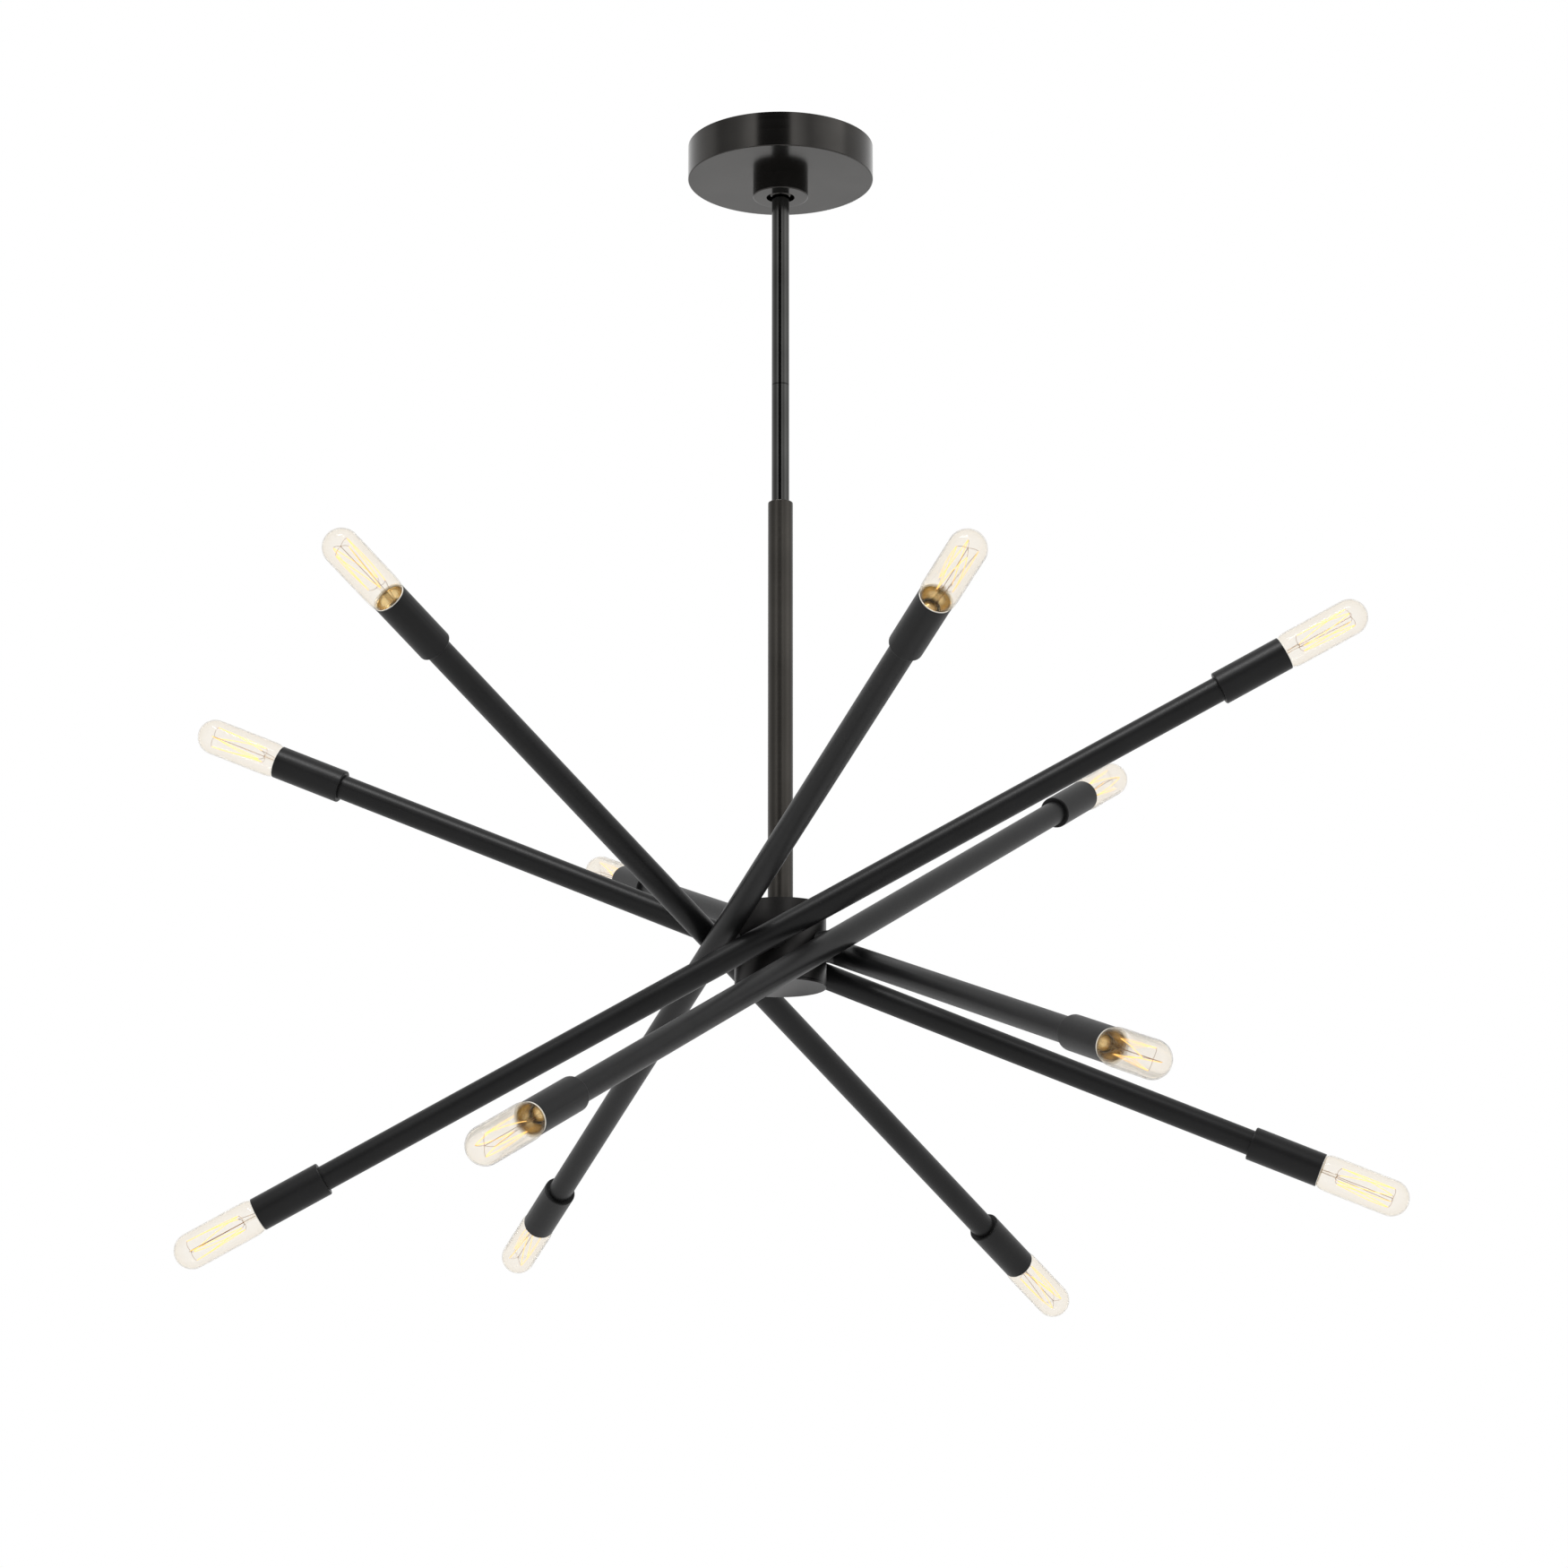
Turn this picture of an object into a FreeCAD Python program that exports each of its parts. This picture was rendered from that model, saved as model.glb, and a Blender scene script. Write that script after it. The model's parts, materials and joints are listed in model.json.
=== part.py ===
"""Sputnik chandelier: six pivoting arms on a drum hub, hung from a ceiling canopy on a stem.

Millimetres. The origin is the middle of the canopy's rim, on the ceiling, +Z is up, and the
fitting hangs below it. Azimuths turn from the front (-Y) towards +X.
"""
import FreeCAD
import Part
import Sketcher
import math
import os

Vector = FreeCAD.Vector
Rotation = FreeCAD.Rotation
Placement = FreeCAD.Placement
X_AXIS = Vector(1, 0, 0)
Y_AXIS = Vector(0, 1, 0)
Z_AXIS = Vector(0, 0, 1)

# ---------------------------------------------------------------- driving dimensions
DIMENSIONS = {
    # ceiling canopy, a shallow pressed cup
    "canopy_radius": 72.3,
    "canopy_height": 27.7,
    "canopy_wall": 1.2,
    "canopy_edge": 0.8,
    # crossbar that is screwed to the outlet box
    "bar_end": 5,
    "bar_width": 22,
    "bar_thickness": 2,
    "slot_spacing": 88.9,
    "slot_length": 9,
    "slot_width": 4.6,
    "ground_offset": 20,
    "ground_radius": 2,
    "ground_head": 3.6,
    # threaded tube and its nuts
    "nipple_radius": 4.85,
    "nipple_bore": 3.2,
    "nut_width": 15.5,
    "nut_thickness": 3.5,
    # hang-straight swivel: housing, collar, ball and cross pin
    "ball_radius": 12.8,
    "ball_drop": 2.5,
    "ball_wireway": 3.5,
    "housing_wall": 2.5,
    "housing_top": 3,
    "flange_radius": 19.5,
    "flange_thickness": 3,
    "collar_radius": 21.5,
    "collar_height": 14,
    "collar_hole": 11,
    "lip_height": 5.7,
    "seat_radius": 11.75,
    "seat_height": 1.3,
    "pin_radius": 2,
    "pin_overhang": 2,
    "pin_swing": 3.3,
    # stem of two sections, and the thicker sleeve over the lower one
    "stem_radius": 6.8,
    "stem_wall": 1.1,
    "stem_socket": 5,
    "upper_stem_length": 161.7,
    "lower_stem_length": 422.5,
    "coupler_length": 30,
    "coupler_wall": 1.3,
    "sleeve_radius": 9.525,
    "sleeve_wall": 1,
    "sleeve_length": 314,
    "sleeve_cap": 4,
    "cap_spigot": 5,
    "cap_edge": 0.8,
    # hub drum
    "hub_radius": 34.35,
    "hub_height": 60,
    "hub_wall": 2.5,
    "hub_top": 3,
    "cover_thickness": 2,
    "cover_spigot": 5,
    "hub_nut_width": 22,
    "hub_nut_thickness": 5,
    # arms, set off from the drum on hollow pivot studs
    "arm_radius": 9.525,
    "arm_wall": 1.2,
    "arm_half": 376,
    "standoff": 6.125,
    "shoulder_radius": 8,
    "pivot_radius": 4.8,
    "pivot_bore": 3,
    "pivot_reach": 3,
    "pivot_nut_width": 13,
    "pivot_nut_thickness": 4,
    "pivot_thread": 1.5,
    # socket cups at the arm ends
    "cup_radius": 12.7,
    "cup_length": 55,
    "cup_wall": 1,
    "cup_back": 2,
    "cup_edge": 1,
    # candelabra lamp sockets
    "socket_radius": 11.2,
    "socket_length": 43,
    "socket_floor": 22,
    "socket_nipple": 12,
    # tubular bulbs
    "base_radius": 6,
    "base_length": 20,
    "contact_radius": 2.4,
    "contact_height": 1.6,
    "glass_radius": 13.85,
    "glass_wall": 0.8,
    "glass_neck": 11.3,
    "glass_beyond_cup": 69,
    "neck_taper": 17,
    "mount_radius": 4.4,
    "mount_tip": 1.6,
    "mount_length": 21,
    "filament_wire": 0.35,
    "filament_spread": 7,
    "filament_length": 41,
    # clearances
    "running_fit": 0.06,
    "loose_fit": 0.3,
    "seat_gap": 0.3,
    "thread_fit": 0.05,
}
# arm directions, in degrees: azimuth of each pivot stud and rise of each arm
ANGLES = {
    "azimuth_one": -6.5,
    "azimuth_two": 57.5,
    "azimuth_three": 115.5,
    "azimuth_four": 174,
    "azimuth_five": 233,
    "azimuth_six": 292,
    "rise_one": 28,
    "rise_two": 26.5,
    "rise_three": 19.2,
    "rise_four": 22.8,
    "rise_five": 26,
    "rise_six": 21,
}
ARM_WORDS = ("one", "two", "three", "four", "five", "six")
FILAMENT_RUNS = 8
MITRED = 1

doc = FreeCAD.newDocument("sputnik_chandelier")
sheet = doc.addObject("Spreadsheet::Sheet", "sizes")
for row, (alias, number) in enumerate((DIMENSIONS | ANGLES).items(), start=1):
    sheet.set("A%d" % row, alias)
    sheet.set("B%d" % row, str(number))
    sheet.setAlias("B%d" % row, alias)
doc.recompute()


class Size:
    """A length that knows its value and the sheet formula it comes from."""

    def __init__(self, value, formula):
        self.value = value
        self.formula = formula

    def _join(self, other, sign, value):
        other_formula = other.formula if isinstance(other, Size) else repr(other)
        return Size(value, "(%s %s %s)" % (self.formula, sign, other_formula))

    def __add__(self, other):
        return self._join(other, "+", self.value + plain(other))

    def __sub__(self, other):
        return self._join(other, "-", self.value - plain(other))

    def __mul__(self, other):
        return self._join(other, "*", self.value * plain(other))

    def __truediv__(self, other):
        return self._join(other, "/", self.value / plain(other))

    def __neg__(self):
        return Size(-self.value, "(0 - %s)" % self.formula)


def plain(number):
    """The plain value of a Size or of a number."""
    return number.value if isinstance(number, Size) else number


def size(alias):
    """The Size held by one cell of the sheet; angles are read the same way."""
    return Size(float(sheet.get(alias)), "sizes.%s" % alias)


ZERO = Size(0.0, "0")

# ---------------------------------------------------------------- levels, measured down from the ceiling
canopy_floor = -size("canopy_height")
collar_foot = canopy_floor - size("collar_height")
ball_centre = canopy_floor - size("ball_drop")
housing_foot = collar_foot + size("lip_height") + size("thread_fit")
cavity_radius = size("ball_radius") + size("loose_fit")
cavity_top = ball_centre + cavity_radius
housing_radius = cavity_radius + size("housing_wall")
housing_head = cavity_top + size("housing_top")
stem_top = ball_centre - size("stem_socket")
stem_seam = stem_top - size("upper_stem_length")
stem_foot = stem_seam - size("lower_stem_length")
stem_bore = size("stem_radius") - size("stem_wall")
hub_roof = stem_foot + size("hub_nut_thickness") + size("hub_top") + size("pivot_thread")
hub_rim = hub_roof - size("hub_height")
hub_middle = hub_roof - (size("hub_height") + size("cover_thickness")) / 2
sleeve_head = hub_roof + size("sleeve_length")
cap_head = sleeve_head + size("sleeve_cap")
arm_offset = size("hub_radius") + size("standoff") + size("arm_radius")
cup_floor = size("arm_half") + size("cup_back")
cup_mouth = size("arm_half") + size("cup_length")
socket_mouth = cup_floor + size("socket_length")
base_tip = cup_floor + size("socket_floor") + size("seat_gap")
glass_foot = base_tip + size("contact_height") + size("base_length")
glass_tip = cup_mouth + size("glass_beyond_cup")
dome_centre = glass_tip - size("glass_radius")


# ---------------------------------------------------------------- building blocks
def origin_plane(body, role):
    """One of the body's own origin planes."""
    return next(item for item in body.Origin.OriginFeatures if item.Role == role)


def new_sketch(body, name, role):
    sketch = body.newObject("Sketcher::SketchObject", name)
    sketch.AttachmentSupport = [(origin_plane(body, role), "")]
    sketch.MapMode = "FlatFace"
    return sketch


def pin_point(sketch, geometry, point, across, up):
    """Fix one point of the sketch by its two coordinates; None leaves a coordinate free."""
    for kind, coordinate, axis in (("DistanceX", across, -2), ("DistanceY", up, -1)):
        if coordinate is None:
            continue
        if coordinate.value == 0:
            sketch.addConstraint(Sketcher.Constraint("PointOnObject", geometry, point, axis))
            continue
        index = sketch.addConstraint(Sketcher.Constraint(kind, geometry, point, coordinate.value))
        sketch.setExpression("Constraints[%d]" % index, coordinate.formula)


def arc_between(start, end, centre):
    """The short arc from start to end, and which of its points are met first and last.

    Arcs are drawn counter-clockwise, so an outline may pass along one from its end.
    """
    spokes = [start - centre, end - centre]
    backwards = spokes[0].cross(spokes[1]).z < 0
    first, last = (math.atan2(spoke.y, spoke.x) for spoke in spokes)
    if backwards:
        first, last = last, first
    if last < first:
        last += 2 * math.pi
    circle = Part.Circle(centre, Z_AXIS, spokes[0].Length)
    return Part.ArcOfCircle(circle, first, last), (2, 1) if backwards else (1, 2)


def draw_outline(sketch, corners):
    """Closed outline through corners of (across, up) or (across, up, arc centre).

    The edge that leaves a corner is straight, or an arc about its centre where one is given.
    """
    points = [Vector(plain(c[0]), plain(c[1]), 0) for c in corners]
    joins = {}
    for number, corner in enumerate(corners):
        start = points[number]
        end = points[(number + 1) % len(points)]
        if len(corner) > 2:
            centre = Vector(plain(corner[2][0]), plain(corner[2][1]), 0)
            curve, joins[number] = arc_between(start, end, centre)
            sketch.addGeometry(curve, False)
        else:
            sketch.addGeometry(Part.LineSegment(start, end), False)
    for number in range(len(corners)):
        following = (number + 1) % len(corners)
        leaving = joins.get(number, (1, 2))[1]
        arriving = joins.get(following, (1, 2))[0]
        sketch.addConstraint(Sketcher.Constraint("Coincident", number, leaving, following, arriving))
    for number, corner in enumerate(corners):
        pin_point(sketch, number, joins.get(number, (1, 2))[0], corner[0], corner[1])
        if len(corner) > 2:
            # both ends are fixed, so one coordinate of the centre settles the arc
            pin_point(sketch, number, 3, None, corner[2][1])


def turned(label, corners, about="Z"):
    """A body turned about Z from (radius, height) corners, or about X from (along, radius)."""
    body = doc.addObject("PartDesign::Body", label)
    body.Label = label
    role, axis = ("XZ_Plane", "V_Axis") if about == "Z" else ("XY_Plane", "H_Axis")
    sketch = new_sketch(body, label + "_outline", role)
    draw_outline(sketch, corners)
    turn = body.newObject("PartDesign::Revolution", label + "_turn")
    turn.Profile = sketch
    turn.ReferenceAxis = (sketch, [axis])
    turn.Angle = 360
    sketch.Visibility = False
    doc.recompute()
    return body


def tube(label, outer, inner, low, high, about="Z"):
    """A plain round tube between two levels along its axis."""
    if about == "Z":
        return turned(label, [(inner, low), (outer, low), (outer, high), (inner, high)])
    return turned(label, [(low, inner), (low, outer), (high, outer), (high, inner)], about)


def bind(item, **formulas):
    """Bind properties of a primitive to sheet formulas; x, y and z place it."""
    for name, length in formulas.items():
        target = "Placement.Base." + name if name in ("x", "y", "z") else name
        if isinstance(length, Size):
            item.setExpression(target, length.formula)
        else:
            item.setExpression(target, repr(length))
    return item


def rod(name, radius, length, rotation=None, **place):
    """A Part cylinder; rotation turns it from +Z."""
    item = doc.addObject("Part::Cylinder", name)
    if rotation is not None:
        item.Placement = Placement(Vector(), rotation)
    return bind(item, Radius=radius, Height=length, **place)


def hex_nut(name, across_flats, bore, thickness, rotation=None, **place):
    """A hexagon nut with a plain bore."""
    prism = doc.addObject("Part::Prism", name + "_hexagon")
    prism.Polygon = 6
    bind(prism, Circumradius=across_flats / math.sqrt(3), Height=thickness)
    hole = rod(name + "_bore", bore, thickness * 2, z=-thickness / 2)
    nut = subtract(name, prism, [hole])
    if rotation is not None:
        nut.Placement = Placement(Vector(), rotation)
    return bind(nut, **place)


def subtract(label, base, tools):
    """The base less one tool after another."""
    result = base
    for number, tool in enumerate(tools, start=1):
        last = number == len(tools)
        cut = doc.addObject("Part::Cut", label if last else "%s_cut_%d" % (label, number))
        cut.Base = result
        cut.Tool = tool
        result = cut
    result.Label = label
    return result


def fuse(label, pieces):
    result = doc.addObject("Part::MultiFuse", label)
    result.Shapes = pieces
    result.Label = label
    return result


def group(label, pieces, placement=None):
    """Separate solids that share one name."""
    result = doc.addObject("Part::Compound", label)
    result.Links = pieces
    result.Label = label
    if placement is not None:
        result.Placement = placement
    return result


def soften(body, radius, wanted):
    """Round the edges of a body's last feature that the test accepts."""
    doc.recompute()
    base = body.Tip
    names = ["Edge%d" % (n + 1) for n, edge in enumerate(base.Shape.Edges) if wanted(edge)]
    fillet = body.newObject("PartDesign::Fillet", body.Name + "_edge")
    fillet.Base = (base, names)
    fillet.setExpression("Radius", radius.formula)
    doc.recompute()


def ring_edge(radius, height):
    """Test for a full circle of this radius at this height on the Z axis."""
    def matches(edge):
        curve = edge.Curve
        return (isinstance(curve, Part.Circle) and abs(curve.Radius - radius.value) < 1e-3
                and abs(curve.Center.z - height.value) < 1e-3)
    return matches


# ---------------------------------------------------------------- ceiling side
def make_canopy():
    inner = size("canopy_radius") - size("canopy_wall")
    hole = housing_radius + size("loose_fit") / 2
    floor = canopy_floor + size("canopy_wall")
    canopy = turned("canopy", [
        (hole, canopy_floor), (size("canopy_radius"), canopy_floor),
        (size("canopy_radius"), ZERO), (inner, ZERO), (inner, floor), (hole, floor)])
    soften(canopy, size("canopy_edge"), ring_edge(size("canopy_radius"), canopy_floor))
    return canopy


def make_crossbar():
    """Flat bar against the ceiling, with a slot near each end for the outlet box screws."""
    bar = doc.addObject("Part::Box", "bar_blank")
    length = size("slot_spacing") + size("slot_length") + size("bar_end") * 2
    bind(bar, Length=length, Width=size("bar_width"), Height=size("bar_thickness"),
         x=-length / 2, y=-size("bar_width") / 2, z=-size("bar_thickness"))
    deep = size("bar_thickness") * 3
    below = -size("bar_thickness") * 2
    tools = [rod("bar_centre_hole", size("nipple_radius") + size("thread_fit"), deep, z=below),
             rod("bar_ground_hole", size("ground_radius") + size("thread_fit"), deep,
                 x=size("ground_offset"), z=below)]
    straight = size("slot_length") - size("slot_width")
    for side, word in ((1, "right"), (-1, "left")):
        middle = size("slot_spacing") / 2 * side
        slot = doc.addObject("Part::Box", "slot_%s" % word)
        bind(slot, Length=straight, Width=size("slot_width"), Height=deep,
             x=middle - straight / 2, y=-size("slot_width") / 2, z=below)
        tools.append(slot)
        for end, end_word in ((1, "outer"), (-1, "inner")):
            tools.append(rod("slot_%s_%s" % (word, end_word), size("slot_width") / 2, deep,
                             x=middle + straight / 2 * end, z=below))
    return subtract("crossbar", bar, tools)


def make_nipple():
    return tube("nipple", size("nipple_radius"), size("nipple_bore"),
                housing_head - size("housing_top"), -size("bar_thickness") / 4)


def make_nipple_nuts():
    """One nut under the crossbar and one on top of the swivel housing."""
    bore = size("nipple_radius") + size("thread_fit")
    thick = size("nut_thickness")
    upper = hex_nut("nut_under_bar", size("nut_width"), bore, thick,
                    z=-size("bar_thickness") - thick)
    lower = hex_nut("nut_on_housing", size("nut_width"), bore, thick, z=housing_head)
    return group("nipple_nuts", [upper, lower])


def make_ground_screw():
    head_height = size("ground_head") / 2
    under = -size("bar_thickness")
    return bind(turned("ground_screw", [
        (ZERO, under - head_height), (size("ground_head"), under - head_height),
        (size("ground_head"), under), (size("ground_radius"), under),
        (size("ground_radius"), -size("bar_thickness") / 4), (ZERO, -size("bar_thickness") / 4)]),
        x=size("ground_offset"))


def make_swivel_housing():
    """Cup on the nipple that takes the ball; two slots let the cross pin tilt."""
    flange_top = canopy_floor + size("canopy_wall") + size("flange_thickness")
    flange_foot = canopy_floor + size("canopy_wall")
    hole = size("nipple_radius") + size("thread_fit")
    blank = turned("housing_blank", [
        (cavity_radius, housing_foot), (housing_radius, housing_foot),
        (housing_radius, flange_foot), (size("flange_radius"), flange_foot),
        (size("flange_radius"), flange_top), (housing_radius, flange_top),
        (housing_radius, housing_head), (hole, housing_head),
        (hole, cavity_top), (cavity_radius, cavity_top)])
    width = (size("pin_radius") + size("running_fit")) * 2
    top = ball_centre + size("pin_radius") + size("pin_swing")
    reach = size("ball_radius") + size("pin_overhang") + size("loose_fit")
    slot = doc.addObject("Part::Box", "pin_slot")
    bind(slot, Length=reach * 2, Width=width, Height=top - collar_foot,
         x=-reach, y=-width / 2, z=collar_foot)
    return subtract("swivel_housing", blank, [slot])


def make_swivel_collar():
    """Ring under the canopy: it screws onto the housing, and its lip carries the ball."""
    lip = collar_foot + size("lip_height")
    bore = housing_radius + size("thread_fit")
    collar = turned("swivel_collar", [
        (size("collar_hole"), collar_foot), (size("collar_radius"), collar_foot),
        (size("collar_radius"), canopy_floor), (bore, canopy_floor), (bore, lip),
        (size("seat_radius"), lip), (size("collar_hole"), lip - size("seat_height"))])
    soften(collar, size("canopy_edge"), ring_edge(size("collar_radius"), collar_foot))
    return collar


def make_swivel_pin():
    reach = size("ball_radius") + size("pin_overhang")
    return bind(turned("swivel_pin", [
        (-reach, ZERO), (-reach, size("pin_radius")), (reach, size("pin_radius")), (reach, ZERO)],
        about="X"), z=ball_centre)


# ---------------------------------------------------------------- stem and hub
def make_swivel_ball():
    ball = doc.addObject("Part::Sphere", "ball_blank")
    bind(ball, Radius=size("ball_radius"), z=ball_centre)
    wireway = rod("ball_wireway", size("ball_wireway"), size("ball_radius") * 2,
                  z=ball_centre - size("ball_radius") / 2)
    socket = rod("ball_stem_socket", size("stem_radius") + size("thread_fit"),
                 size("ball_radius"), z=stem_top - size("ball_radius"))
    pin_hole = rod("ball_pin_hole", size("pin_radius") + size("running_fit"),
                   size("ball_radius") * 3, Rotation(Y_AXIS, 90),
                   x=-size("ball_radius") * 1.5, z=ball_centre)
    return subtract("swivel_ball", ball, [wireway, socket, pin_hole])


def make_upper_stem():
    return tube("upper_stem", size("stem_radius"), stem_bore, stem_seam, stem_top)


def make_lower_stem():
    return tube("lower_stem", size("stem_radius"), stem_bore, stem_foot, stem_seam)


def make_stem_coupler():
    outer = stem_bore - size("thread_fit")
    half = size("coupler_length") / 2
    return tube("stem_coupler", outer, outer - size("coupler_wall"),
                stem_seam - half, stem_seam + half)


def make_sleeve_tube():
    return tube("sleeve_tube", size("sleeve_radius"), size("sleeve_radius") - size("sleeve_wall"),
                hub_roof, sleeve_head)


def make_sleeve_cap():
    """Bush that closes the sleeve's top and centres it on the stem."""
    bore = size("stem_radius") + size("running_fit")
    spigot = size("sleeve_radius") - size("sleeve_wall") - size("running_fit")
    cap = turned("sleeve_cap", [
        (bore, sleeve_head - size("cap_spigot")), (spigot, sleeve_head - size("cap_spigot")),
        (spigot, sleeve_head), (size("sleeve_radius"), sleeve_head),
        (size("sleeve_radius"), cap_head), (bore, cap_head)])
    soften(cap, size("cap_edge"), ring_edge(size("sleeve_radius"), cap_head))
    return cap


def make_hub_shell():
    """Drum open below, with a stem hole in its roof and one pivot hole for each arm."""
    inner = size("hub_radius") - size("hub_wall")
    hole = size("stem_radius") + size("thread_fit")
    ceiling = hub_roof - size("hub_top")
    drum = turned("drum_blank", [
        (inner, hub_rim), (size("hub_radius"), hub_rim), (size("hub_radius"), hub_roof),
        (hole, hub_roof), (hole, ceiling), (inner, ceiling)])
    holes = []
    for word in ARM_WORDS:
        turn = Rotation(Z_AXIS, size("azimuth_" + word).value) * Rotation(X_AXIS, 90)
        holes.append(rod("pivot_hole_" + word, size("pivot_radius") + size("running_fit"),
                         size("hub_radius") + size("hub_wall"), turn, z=hub_middle))
    return subtract("hub_shell", drum, holes)


def make_hub_cover():
    foot = hub_rim - size("cover_thickness")
    spigot = size("hub_radius") - size("hub_wall") - size("running_fit")
    ledge = hub_rim + size("cover_spigot")
    return turned("hub_cover", [
        (ZERO, foot), (size("hub_radius"), foot), (size("hub_radius"), hub_rim),
        (spigot, hub_rim), (spigot, ledge), (spigot - size("cover_thickness"), ledge),
        (spigot - size("cover_thickness"), hub_rim), (ZERO, hub_rim)])


def make_hub_nut():
    return hex_nut("hub_nut", size("hub_nut_width"), size("stem_radius") + size("thread_fit"),
                   size("hub_nut_thickness"),
                   z=hub_roof - size("hub_top") - size("hub_nut_thickness"))


# ---------------------------------------------------------------- arm patterns
# Each is made about the arm's own middle: the arm lies along X and the hub is on its +Y side.
def both_ends(name, piece):
    """The piece at the arm's right end and the same one turned round at its left end."""
    other = group(name + "_left", [piece], Placement(Vector(), Rotation(Z_AXIS, 180)))
    return group(name + "_pair", [piece, other])


def pattern_arm_tube():
    blank = tube("arm_blank", size("arm_radius"), size("arm_radius") - size("arm_wall"),
                 -size("arm_half"), size("arm_half"), about="X")
    side_hole = rod("arm_side_hole", size("pivot_radius") + size("thread_fit"),
                    size("arm_radius") * 2, Rotation(X_AXIS, -90))
    return subtract("arm_pattern", blank, [side_hole])


def pattern_pivot():
    """Hollow stud with a saddle shoulder against the arm, and its nut inside the hub."""
    along = Rotation(X_AXIS, -90)
    start = size("arm_radius") - size("arm_wall") - size("pivot_reach")
    hub_face = arm_offset - size("hub_radius") - size("seat_gap")
    corner = size("pivot_nut_width") / math.sqrt(3)
    inner = size("hub_radius") - size("hub_wall")
    drop = inner.value - math.sqrt(inner.value ** 2 - corner.value ** 2)
    nut_face = arm_offset - inner + size("seat_gap") + drop
    end = nut_face + size("pivot_nut_thickness") + size("pivot_thread")
    stud = rod("pivot_stud", size("pivot_radius"), end - start, along, y=start)
    shoulder_blank = rod("pivot_shoulder_blank", size("shoulder_radius"), hub_face, along)
    saddle = rod("pivot_saddle", size("arm_radius"), size("shoulder_radius") * 4,
                 Rotation(Y_AXIS, 90), x=-size("shoulder_radius") * 2)
    shoulder = subtract("pivot_shoulder", shoulder_blank, [saddle])
    wireway = rod("pivot_wireway", size("pivot_bore"), end * 2, along)
    body = subtract("pivot_body", fuse("pivot_solid", [stud, shoulder]), [wireway])
    nut = hex_nut("pivot_nut", size("pivot_nut_width"), size("pivot_radius") + size("thread_fit"),
                  size("pivot_nut_thickness"), along, y=nut_face)
    return group("pivot_pattern", [body, nut])


def pattern_cup():
    inner = size("cup_radius") - size("cup_wall")
    hole = size("pivot_radius") + size("thread_fit")
    start = size("arm_half")
    edge = size("cup_edge")
    return turned("cup_pattern", [
        (start, hole),
        (start, size("cup_radius") - edge, (start + edge, size("cup_radius") - edge)),
        (start + edge, size("cup_radius")), (cup_mouth, size("cup_radius")),
        (cup_mouth, inner), (cup_floor, inner), (cup_floor, hole)], about="X")


def pattern_socket():
    """Candelabra socket: a sleeve for the bulb's base, on a hollow screw into the arm."""
    bore = size("base_radius") + size("loose_fit")
    floor = cup_floor + size("socket_floor")
    screw_start = cup_floor - size("socket_nipple")
    return turned("socket_pattern", [
        (screw_start, size("pivot_bore")), (screw_start, size("pivot_radius")),
        (cup_floor, size("pivot_radius")), (cup_floor, size("socket_radius")),
        (socket_mouth, size("socket_radius")), (socket_mouth, bore),
        (floor, bore), (floor, size("pivot_bore"))], about="X")


def pattern_base():
    shell = base_tip + size("contact_height")
    return turned("base_pattern", [
        (base_tip, ZERO), (base_tip, size("contact_radius")), (shell, size("contact_radius")),
        (shell, size("base_radius")), (glass_foot, size("base_radius")), (glass_foot, ZERO)],
        about="X")


def pattern_glass():
    """Tubular envelope: narrow neck in the cup, short flare, straight wall, round end."""
    wall = size("glass_wall")
    wide = size("glass_radius")
    neck = size("glass_neck")
    shoulder = cup_mouth - size("neck_taper") / 4
    flare = cup_mouth + size("neck_taper") / 8
    full = cup_mouth + size("neck_taper")
    belly = (neck + wide) / 2
    return turned("glass_pattern", [
        (glass_foot, size("base_radius")), (shoulder, neck), (cup_mouth, neck),
        (flare, belly), (full, wide),
        (dome_centre, wide, (dome_centre, ZERO)), (glass_tip, ZERO),
        (glass_tip - wall, ZERO, (dome_centre, ZERO)), (dome_centre, wide - wall),
        (full, wide - wall), (flare, belly - wall), (cup_mouth, neck - wall),
        (shoulder, neck - wall), (glass_foot, size("base_radius") - wall)], about="X")


def pattern_filament():
    """Glass mount and support wires, with the filament strung to and fro round them."""
    foot = plain(glass_foot)
    spread = plain(size("filament_spread"))
    radius = plain(size("filament_wire"))
    top = foot + plain(size("mount_length"))
    far = top + plain(size("filament_length"))
    mount = Part.makeCone(plain(size("mount_radius")), plain(size("mount_tip")), top - foot,
                          Vector(foot, 0, 0), X_AXIS)
    supports = [Part.makeCylinder(radius * 2, far - foot, Vector(foot, 0, 0), X_AXIS)]
    corners = []
    for number in range(FILAMENT_RUNS):
        angle = 2 * math.pi * number / FILAMENT_RUNS
        along = top + 2 * radius if number % 2 == 0 else far
        corners.append(Vector(along, spread * math.cos(angle), spread * math.sin(angle)))
        axis_point = Vector(along, 0, 0)
        spoke = corners[-1] - axis_point
        supports.append(Part.makeCylinder(radius * 0.8, spoke.Length, axis_point, spoke))
    first_run = corners[1] - corners[0]
    section = Part.Wire(Part.makeCircle(radius, corners[0], first_run))
    wire = Part.makePolygon(corners).makePipeShell([section], True, False, MITRED)
    filament = doc.addObject("Part::Feature", "filament_pattern")
    filament.Shape = mount.multiFuse(supports).fuse(wire)
    return filament


def arm_placement(word):
    """Place of an arm's middle: out along its pivot stud, and risen about it."""
    turn = Rotation(Z_AXIS, size("azimuth_" + word).value)
    rise = Rotation(Y_AXIS, -size("rise_" + word).value)
    pivot = Placement(Vector(0, 0, hub_middle.value), turn * rise)
    return pivot * Placement(Vector(0, -arm_offset.value, 0), Rotation())


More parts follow.
